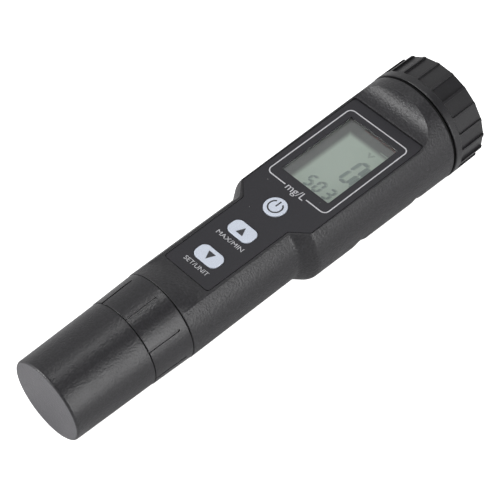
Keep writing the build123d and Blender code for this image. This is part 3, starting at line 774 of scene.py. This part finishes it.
FINISHES: dict[str, Finish] = {
    "housing": PlasticFinish(
        "moulded_charcoal", BODY_COLOUR, roughness=0.38, specular=0.38, grain_mm=0.9, grain_depth_mm=0.13,
        grain_shade=0.25, dust=0.25
    ),
    # the cap's end face gets painted light, three times its base tone
    "cap": PlasticFinish(
        "satin_cap", BODY_COLOUR, roughness=0.34, specular=0.38, grain_mm=0.8, grain_depth_mm=0.1,
        grain_shade=0.2, dust=0.2, painted_end_light=3.0
    ),
    "collar": PlasticFinish(
        "satin_collar", BODY_COLOUR, roughness=0.31, specular=0.38, grain_mm=0.8, grain_depth_mm=0.075,
        grain_shade=0.2
    ),
    "battery_cap": PlasticFinish("ribbed_charcoal", (0.022, 0.0215, 0.0235), roughness=0.34, grain_mm=0.6),
    "label": PlasticFinish(
        "label_film", (0.023, 0.0222, 0.0272), roughness=0.4, specular=0.4, grain_mm=0.5,
        grain_depth_mm=0.006, edge_mm=0.1, dust=0.8
    ),
    "lens": GlassFinish("clear_window", (0.96, 0.98, 0.97)),
    "display": DisplayFinish("reflective_display", (0.7, 0.79, 0.71)),
    "display_rim": PlasticFinish("display_rim_black", (0.02, 0.02, 0.02), roughness=0.5),
    "light_guide": PlasticFinish("milky_guide", (0.75, 0.77, 0.74), roughness=0.3, grain_depth_mm=0.002),
    "key": PlasticFinish(
        "pale_key", (0.68, 0.735, 0.84), roughness=0.42, grain_mm=0.25, grain_depth_mm=0.004,
        edge_lift=0.7, dots=0.3
    ),
    "rubber": PlasticFinish(
        "black_seal", (0.006, 0.006, 0.006), roughness=0.75, specular=0.2, grain_mm=0.2, edge_wear_and_painted_light=0.0
    ),
    "elastomer": PlasticFinish(
        "contact_elastomer", (0.2, 0.07, 0.07), roughness=0.75, specular=0.2, grain_mm=0.15
    ),
    "board": PlasticFinish("solder_mask", (0.02, 0.13, 0.06), roughness=0.3, grain_mm=0.8, edge_lift=1.4),
    "chip": PlasticFinish("chip_black", (0.02, 0.02, 0.021), roughness=0.55, grain_mm=0.2),
    "inner_plastic": PlasticFinish("inner_grey", (0.13, 0.13, 0.14), roughness=0.5),
    "steel": MetalFinish("plated_steel", (0.62, 0.62, 0.6), roughness=0.28),
    "cell": MetalFinish("cell_can", (0.7, 0.7, 0.68), roughness=0.22, stretch=4.0),
    "brass": MetalFinish("gold_contact", (0.82, 0.6, 0.26), roughness=0.2),
    "ribbon": PlasticFinish("amber_ribbon", (0.42, 0.18, 0.03), roughness=0.25, grain_depth_mm=0.002),
    "probe_plastic": PlasticFinish(
        "probe_grey", (0.07, 0.07, 0.074), roughness=0.42, grain_mm=0.3, grain_depth_mm=0.006
    ),
    "silver": MetalFinish("noble_disc", (0.88, 0.87, 0.84), roughness=0.08, stretch=2.0),
    "zinc": MetalFinish("dull_zinc", (0.42, 0.43, 0.45), roughness=0.45, stretch=3.0),
    "membrane": PlasticFinish(
        "membrane_film", (0.7, 0.74, 0.72), roughness=0.2, grain_depth_mm=0.001, edge_wear_and_painted_light=0.0
    ),
    "membrane_cap": PlasticFinish("membrane_cap_grey", (0.6, 0.61, 0.62), roughness=0.45, edge_lift=1.2),
    "sponge": PlasticFinish(
        "damp_sponge", (0.62, 0.53, 0.22), roughness=0.9, grain_mm=0.9, grain_depth_mm=0.5
    ),
}

def ink(name: str, colour: Colour, grain_mm: float, grain_depth_mm: float) -> PlasticFinish:
    """Printing ink, and the display's painted segment shadow: an even film with no worn edges.

    Args:
        name: the material's name.
        colour: its colour.
        grain_mm: size of its grain.
        grain_depth_mm: depth of its grain.

    Returns:
        The finish.
    """
    return PlasticFinish(
        name, colour, roughness=0.5, grain_mm=grain_mm, grain_depth_mm=grain_depth_mm, edge_wear_and_painted_light=0.0
    )


INKS: dict[str, PlasticFinish] = {
    "white_ink": ink("white_ink", (0.66, 0.66, 0.69), 0.18, 0.003),
    "dark_ink": ink("dark_ink", (0.035, 0.035, 0.042), 0.18, 0.003),
    "segment_ink": ink("display_segment", (0.36, 0.43, 0.41), 0.3, 0.001),
    # painted shadow of the display's figures, also used for the faint arrow and dash
    "segment_shadow_and_faint_marks": ink("display_segment_shadow", (0.53, 0.61, 0.55), 0.3, 0.001),
}


class Workshop:
    """Holds every built material and dresses the frame's own parts."""

    def __init__(self) -> None:
        """Build all materials."""
        self.effects = EffectBook()
        self.finishes = {slot: finish.build(self.effects) for slot, finish in FINISHES.items()}
        self.inks = {name: ink.build(self.effects) for name, ink in INKS.items()}

    def dress_frame(self) -> None:
        """Give every node of the frame the finish of its material slot."""
        for part in frame["record"]["subparts"]:
            node = frame["nodes"][part["node"]]
            finish = self.finishes[part["material_slot"]]
            for slot in node.material_slots:
                slot.material = finish
            LOG.info("node %s wears %s", part["node"], finish.name)


# ---------------------------------------------------------------- printed front
@dataclass(frozen=True)
class Caption:
    """Words under an arrow key: their middle's x and their length."""

    name: str
    words: str
    x: float
    length: float


@dataclass
class FrontPrint:
    """Ink on the front label: a broken frame, a unit mark and two captions."""

    workshop: Workshop
    surface: float = 12.04
    line_width: float = 0.46
    frame_start_x: float = 112.0
    frame_end_x: float = 153.1
    frame_half: float = 14.15
    frame_corner: float = 2.1
    gap_half: float = 5.1
    unit_height: float = 3.1
    unit_length: float = 8.4
    caption_height: float = 1.75
    captions: tuple[Caption, ...] = (
        Caption("caption_up", "MAX/MIN", 81.25, 12.4),
        Caption("caption_down", "SET/UNIT", 66.0, 11.2),
    )

    def build(self) -> None:
        """Print everything."""
        self.frame_line()
        self.unit_mark()
        self.key_captions()

    def put(self, name: str, mesh: bpy.types.Mesh) -> None:
        """Put a mesh on the label in white ink.

        Args:
            name: the piece's name.
            mesh: its mesh.
        """
        new_piece(name, mesh, "meter", self.workshop.inks["white_ink"])

    def frame_line(self) -> None:
        """Rounded frame round the window, open below for the unit mark."""
        printer = Printer(Sheet(0.0, 0.0, self.surface))
        low, high = self.frame_start_x, self.frame_end_x
        side, bend = self.frame_half, self.frame_corner
        path = [(self.gap_half, low)]
        path += arc(side - bend, low + bend, bend, -90, 0)
        path += arc(side - bend, high - bend, bend, 0, 90)
        path += arc(bend - side, high - bend, bend, 90, 180)
        path += arc(bend - side, low + bend, bend, 180, 270)
        path += [(-self.gap_half, low)]
        printer.stroke(path, self.line_width)
        self.put("frame_line", printer.finish("frame_line"))

    def unit_mark(self) -> None:
        """Unit of the reading, in the gap of the frame line."""
        sheet = Sheet(self.frame_start_x, 0.0, self.surface)
        self.put("unit_mark", lettering("unit_mark", "mg/L", self.unit_height, self.unit_length, sheet))

    def key_captions(self) -> None:
        """What the two arrow keys do."""
        for caption in self.captions:
            sheet = Sheet(caption.x, 0.0, self.surface)
            mesh = lettering(caption.name, caption.words, self.caption_height, caption.length, sheet)
            self.put(caption.name, mesh)


class KeyMark(Enum):
    """What is printed on a key."""

    POWER = "power"
    UP = "up"
    DOWN = "down"


@dataclass
class KeyPrint:
    """Dark mark on one key."""

    workshop: Workshop
    mark: KeyMark
    node: str
    body: str
    ring_radius: float = 2.65
    ring_width: float = 0.55
    ring_open_deg: float = 34.0
    ring_steps: int = 40
    bar_foot: float = 0.15
    bar_rise: float = 0.2
    arrow_half: float = 1.6
    arrow_height: float = 3.3

    def build(self) -> None:
        """Print the mark on the key's top."""
        low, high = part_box(self.node)
        middle = (Vector(low) + Vector(high)) / 2 / MM
        printer = Printer(Sheet(middle.x, middle.y, high[2] / MM))
        if self.mark is KeyMark.POWER:
            start = 90 + self.ring_open_deg
            end = start + 360 - 2 * self.ring_open_deg
            printer.stroke(arc(0, 0, self.ring_radius, start, end, self.ring_steps), self.ring_width)
            bar_top = self.ring_radius + self.bar_rise
            printer.stroke([(0, self.bar_foot), (0, bar_top)], self.ring_width)
        else:
            sign = 1 if self.mark is KeyMark.UP else -1
            tip = self.arrow_height / 2 * sign
            points = [(-self.arrow_half, -tip), (self.arrow_half, -tip), (0, tip)]
            printer.polygon(points if sign > 0 else points[::-1])
        name = self.mark.value + "_mark"
        new_piece(name, printer.finish(name), self.body, self.workshop.inks["dark_ink"])


# ---------------------------------------------------------------- display
SEGMENTS: dict[str, str] = {
    "0": "abcdef", "1": "bc", "2": "abged", "3": "abgcd", "4": "fgbc",
    "5": "afgcd", "6": "afgedc", "7": "abc", "8": "abcdefg", "9": "abfgcd",
}


@dataclass(frozen=True)
class FigureRow:
    """A row of figures: where its feet stand, each figure's size, and the figures with their left sides."""

    foot: float
    width: float
    height: float
    bar: float
    figures: tuple[tuple[str, float], ...]


@dataclass
class DisplayReading:
    """Seven-segment reading with its soft shadow below, an arrow mark and a bar, and the contact edge."""

    workshop: Workshop
    surface: float = 9.62
    film: float = 0.01
    shadow_shift: tuple[float, float] = (0.42, -0.45)
    figure_lift: float = 0.03
    slant: float = 0.06
    segment_gap: float = 0.16
    rows: tuple[FigureRow, ...] = (
        FigureRow(127.9, 3.4, 10.8, 1.2, (("0", 4.9), ("8", 9.6))),
        FigureRow(117.8, 2.3, 4.9, 0.82, (("5", -2.6), ("0", 1.6), ("3", 6.3))),
    )
    arrow: tuple[Point2, ...] = (
        (3.2, 143.6), (5.0, 141.2), (6.6, 143.6), (5.6, 143.6), (5.0, 142.6), (4.3, 143.6),
    )
    dash: tuple[Point2, Point2] = ((6.4, 146.1), (11.2, 146.1))
    dash_width: float = 0.35
    edge_left: float = -4.5
    edge_right: float = 11.0
    edge_low: float = 150.25
    edge_high: float = 150.45
    edge_thickness: float = 0.05

    def digit(self, printer: Printer, figure: str, u: float, row: FigureRow) -> None:
        """Draw one figure.

        Args:
            printer: where to draw.
            figure: the figure, 0 to 9.
            u: its left side.
            row: the row it stands in.
        """
        width, height = row.width, row.height
        half, gap, reach = height / 2, row.bar * self.segment_gap, row.bar / 2
        ends = {
            "a": ((0, height), (width, height)), "d": ((0, 0), (width, 0)), "g": ((0, half), (width, half)),
            "b": ((width, half), (width, height)), "c": ((width, 0), (width, half)),
            "e": ((0, 0), (0, half)), "f": ((0, half), (0, height)),
        }
        for name in SEGMENTS[figure]:
            start, end = (Vector(corner) for corner in ends[name])
            along = (end - start).normalized()
            side = Vector((-along.y, along.x)) * reach
            first, last = start + along * gap, end - along * gap
            corners = [
                first, first + along * reach + side, last - along * reach + side,
                last, last - along * reach - side, first + along * reach - side,
            ]
            printer.polygon([(u + c.x + c.y * self.slant, row.foot + c.y) for c in corners])

    def draw(self, printer: Printer) -> None:
        """Draw the whole reading on one print plane.

        Args:
            printer: where to draw.
        """
        for row in self.rows:
            for figure, u in row.figures:
                self.digit(printer, figure, u, row)

    def build(self) -> None:
        """Print the shadow, the figures and the contact edge."""
        inks = self.workshop.inks
        # painted shadow of the figures, offset below them; the faint arrow and dash share it
        shadow = Printer(Sheet(*self.shadow_shift, self.surface, self.film))
        self.draw(shadow)
        shadow.polygon(list(self.arrow))
        shadow.stroke(list(self.dash), self.dash_width)
        new_piece("reading_shadow", shadow.finish("reading_shadow"), "meter", inks["segment_shadow_and_faint_marks"])
        figures = Printer(Sheet(0.0, 0.0, self.surface + self.figure_lift, self.film))
        self.draw(figures)
        new_piece("reading", figures.finish("reading"), "meter", inks["segment_ink"])
        self.contact_edge()

    def contact_edge(self) -> None:
        """Reddish edge of the contact strip, just visible along the window's top."""
        left, right, low, high = self.edge_left, self.edge_right, self.edge_low, self.edge_high
        printer = Printer(Sheet(0.0, 0.0, self.surface, self.edge_thickness))
        printer.polygon([(left, low), (right, low), (right, high), (left, high)])
        mesh = printer.finish("contact_edge")
        new_piece("contact_edge", mesh, "meter", self.workshop.finishes["elastomer"])


# ---------------------------------------------------------------- screw threads
@dataclass
class HelicalThread:
    """Raised thread on a round spigot along X, hidden until its cap comes off."""

    workshop: Workshop
    name: str
    body: str
    slot: str
    radius: float
    start_x: float
    length: float
    pitch: float
    height: float
    width: float
    steps: int = 48
    fade_turn: float = 1 / 6
    least_height: float = 0.02
    root_depth: float = 0.05
    crest_half: float = 0.2

    def build(self) -> None:
        """Wind the thread round its spigot."""
        builder = bmesh.new()
        turns = (self.length - self.width) / self.pitch
        count = int(turns * self.steps)
        fade_steps = self.steps * self.fade_turn
        foot = self.radius - self.root_depth
        rings = []
        for i in range(count + 1):
            angle = 2 * math.pi * i / self.steps
            fade = min(1.0, i / fade_steps, (count - i) / fade_steps)
            crest = self.radius + self.height * max(self.least_height, fade)
            x = self.start_x + self.width / 2 + self.pitch * i / self.steps
            profile = ((-0.5, foot), (-self.crest_half, crest), (self.crest_half, crest), (0.5, foot))
            ring = []
            for share, radius in profile:
                place = Vector((x + share * self.width, radius * math.cos(angle), radius * math.sin(angle)))
                ring.append(builder.verts.new(place * MM))
            rings.append(ring)
        for first, second in zip(rings, rings[1:]):
            join_rings(builder, first, second)
        builder.faces.new(rings[0][::-1])
        builder.faces.new(rings[-1])
        mesh = close_mesh(self.name, builder)
        mesh.shade_smooth()
        new_piece(self.name, mesh, self.body, self.workshop.finishes[self.slot])


# ---------------------------------------------------------------- studio
@dataclass(frozen=True)
class Softbox:
    """An area light: its direction from the meter, width and height in metres, and watts."""

    name: str
    direction: Point3
    size: Point2
    power: float


@dataclass(frozen=True)
class DarkZone:
    """A darker part of the sky: its middle, the cosine at its rim and the level in its middle."""

    direction: Point3
    rim: float
    level: float


@dataclass
class Studio:
    """White table, soft lights and the camera."""

    nose_drop: float = 15.75
    head_drop: float = 21.95
    head_x: float = 172.5
    table_size_m: float = 6.0
    table_colour: Colour = (0.7, 0.7, 0.7)
    table_glow: float = 0.12
    table_glow_seen: float = 1.05
    focal_mm: float = 134.9
    sensor_mm: float = 36.0
    aim: Point3 = (90.36, 0.28, -0.98)
    view_direction: Point3 = (0.4166, 0.4714, -0.7773)
    distance: float = 641.7
    light_aim: Point3 = (90.0, 0.0, 0.0)
    light_distance_m: float = 0.9
    softboxes: tuple[Softbox, ...] = (
        Softbox("softbox_left", (-0.86, 0.47, 0.26), (0.4, 0.36), 6.0),
        Softbox("softbox_front", (0.16, -0.9, 0.32), (0.4, 0.7), 5.4),
        Softbox("softbox_top", (0.215, 0.085, 0.97), (0.13, 0.36), 1.5),
    )
    sky_strength: float = 0.6
    dark_zones: tuple[DarkZone, ...] = (
        DarkZone((-0.42, -0.47, 0.78), 0.3, 0.25),
        DarkZone((0.42, -0.30, 0.86), 0.78, 0.12),
    )

    def table_normal(self) -> Vector:
        """Upward direction of the table, laid from the cap's end to the battery cap.

        The head's underside swells below that line, so the table cuts into it.
        """
        slope = (self.nose_drop - self.head_drop) / self.head_x
        return Vector((-slope, 0.0, 1.0)).normalized()

    def table(self) -> None:
        """White table under the meter, brighter to the camera than in reflections."""
        normal = self.table_normal()
        builder = bmesh.new()
        bmesh.ops.create_grid(builder, x_segments=8, y_segments=8, size=self.table_size_m / 2)
        mesh = close_mesh("table", builder)
        table = bpy.data.objects.new("table", mesh)
        table.rotation_mode = "QUATERNION"
        table.rotation_quaternion = Vector((0, 0, 1)).rotation_difference(normal)
        table.location = Vector((0.0, 0.0, -self.nose_drop)) * MM
        bpy.context.scene.collection.objects.link(table)
        material = bpy.data.materials.new("white_table")
        material.use_nodes = True
        shader = material.node_tree.nodes["Principled BSDF"]
        preset(shader, {"Base Color": rgba(self.table_colour), "Roughness": 0.9, "Specular IOR Level": 0.1})
        preset(shader, {"Emission Color": (1.0, 1.0, 1.0, 1.0)})
        graph = Graph(material.node_tree)
        ray = graph.add("ShaderNodeLightPath")
        glow = graph.span(ray.outputs["Is Camera Ray"], 0.0, 1.0, self.table_glow, self.table_glow_seen)
        graph.link(glow, shader.inputs["Emission Strength"])
        mesh.materials.append(material)

    def camera(self) -> None:
        """Camera level with the table, aimed along the view direction."""
        data = bpy.data.cameras.new("camera")
        data.lens = self.focal_mm
        data.sensor_width = self.sensor_mm
        data.clip_start, data.clip_end = 0.01, 50.0
        camera = bpy.data.objects.new("camera", data)
        back = -Vector(self.view_direction).normalized()
        right = self.table_normal().cross(back).normalized()
        up = back.cross(right)
        place = Vector(self.aim) * MM + back * self.distance * MM
        camera.matrix_world = Matrix(
            (
                (right.x, up.x, back.x, place.x),
                (right.y, up.y, back.y, place.y),
                (right.z, up.z, back.z, place.z),
                (0.0, 0.0, 0.0, 1.0),
            )
        )
        bpy.context.scene.collection.objects.link(camera)
        bpy.context.scene.camera = camera

    def softbox(self, box: Softbox) -> None:
        """Area light that faces the meter.

        Args:
            box: the light's name, direction, size and power.
        """
        data = bpy.data.lights.new(box.name, "AREA")
        data.shape = "RECTANGLE"
        data.size, data.size_y = box.size
        data.energy = box.power
        light = bpy.data.objects.new(box.name, data)
        towards = Vector(box.direction).normalized()
        light.location = Vector(self.light_aim) * MM + towards * self.light_distance_m
        light.rotation_mode = "QUATERNION"
        light.rotation_quaternion = (-towards).to_track_quat("-Z", "Y")
        bpy.context.scene.collection.objects.link(light)

    def sky(self) -> None:
        """Soft white surroundings with dark zones overhead."""
        world = bpy.data.worlds.new("studio")
        world.use_nodes = True
        bpy.context.scene.world = world
        graph = Graph(world.node_tree)
        back = world.node_tree.nodes["Background"]
        where = graph.add("ShaderNodeTexCoord")
        level = None
        for dark in self.dark_zones:
            towards = graph.add("ShaderNodeVectorMath", operation="DOT_PRODUCT")
            graph.link(where.outputs["Generated"], towards.inputs[0])
            towards.inputs[1].default_value = Vector(dark.direction).normalized()
            zone = graph.span(towards.outputs["Value"], dark.rim, 1.0, 1.0, dark.level)
            level = zone if level is None else graph.math("MULTIPLY", level, zone)
        graph.link(level, back.inputs["Color"])
        back.inputs["Strength"].default_value = self.sky_strength

    def build(self) -> None:
        """Set up the studio."""
        self.table()
        self.camera()
        self.sky()
        for box in self.softboxes:
            self.softbox(box)
        bpy.context.scene.view_settings.view_transform = "Standard"


# ---------------------------------------------------------------- the meter
@dataclass
class PenMeter:
    """The whole meter: dressed frame, prints, display and threads."""

    workshop: Workshop

    def build(self) -> None:
        """Dress the frame and add every visible detail."""
        self.workshop.dress_frame()
        FrontPrint(self.workshop).build()
        for mark in KeyMark:
            KeyPrint(self.workshop, mark, mark.value + "_key", mark.value + "_button").build()
        DisplayReading(self.workshop).build()
        for thread in self.threads():
            thread.build()

    def threads(self) -> list[HelicalThread]:
        """The three screw threads that show when a cap or ring is off.

        Returns:
            The threads to wind.
        """
        return [
            HelicalThread(
                self.workshop, "neck_thread", "meter", "housing",
                radius=18.4, start_x=171.2, length=6.0, pitch=3.0, height=0.26, width=1.2,
            ),
            HelicalThread(
                self.workshop, "spigot_thread", "meter", "housing",
                radius=14.85, start_x=40.0, length=7.6, pitch=3.0, height=0.26, width=1.2,
            ),
            HelicalThread(
                self.workshop, "tip_thread", "electrode", "probe_plastic",
                radius=7.2, start_x=17.2, length=4.2, pitch=1.0, height=0.24, width=0.5,
            ),
        ]


def main() -> None:
    """Build the studio and the meter."""
    logging.basicConfig(level=logging.INFO, format="%(name)s: %(message)s")
    Studio().build()
    PenMeter(Workshop()).build()


if __name__ == "__main__":
    main()
